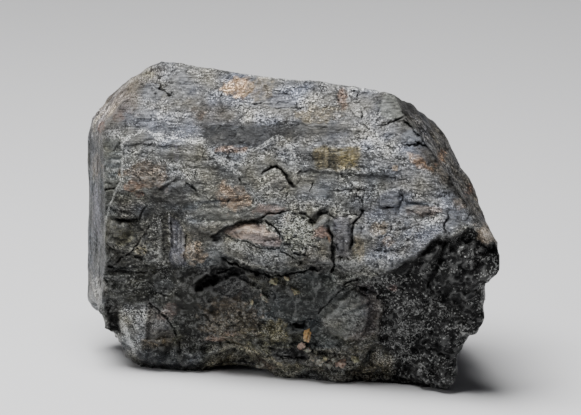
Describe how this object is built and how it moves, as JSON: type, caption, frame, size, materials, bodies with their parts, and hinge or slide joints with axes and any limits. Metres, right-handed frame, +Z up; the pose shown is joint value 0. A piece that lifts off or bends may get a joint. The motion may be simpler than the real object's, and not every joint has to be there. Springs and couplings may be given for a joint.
{
  "type": "ferberite crystal specimen",
  "caption": "Stout, striated black ferberite crystal with sharp bevelled ends, layered ledges on its front and a broken, grained underside and right end.",
  "frame": {"origin": "on the resting plane, under the middle of the crystal's bounding box", "axes": "+Z up, +X along the crystal's length towards its broken end, -Y out of its layered front"},
  "size_m": [0.0722, 0.0555, 0.0532],
  "materials": {
    "ferberite": "dark grey to black, faintly metallic, striated, with brown and ochre films"
  },
  "bodies": {
    "root": {"ferberite_crystal": "ferberite"}
  },
  "joints": []
}
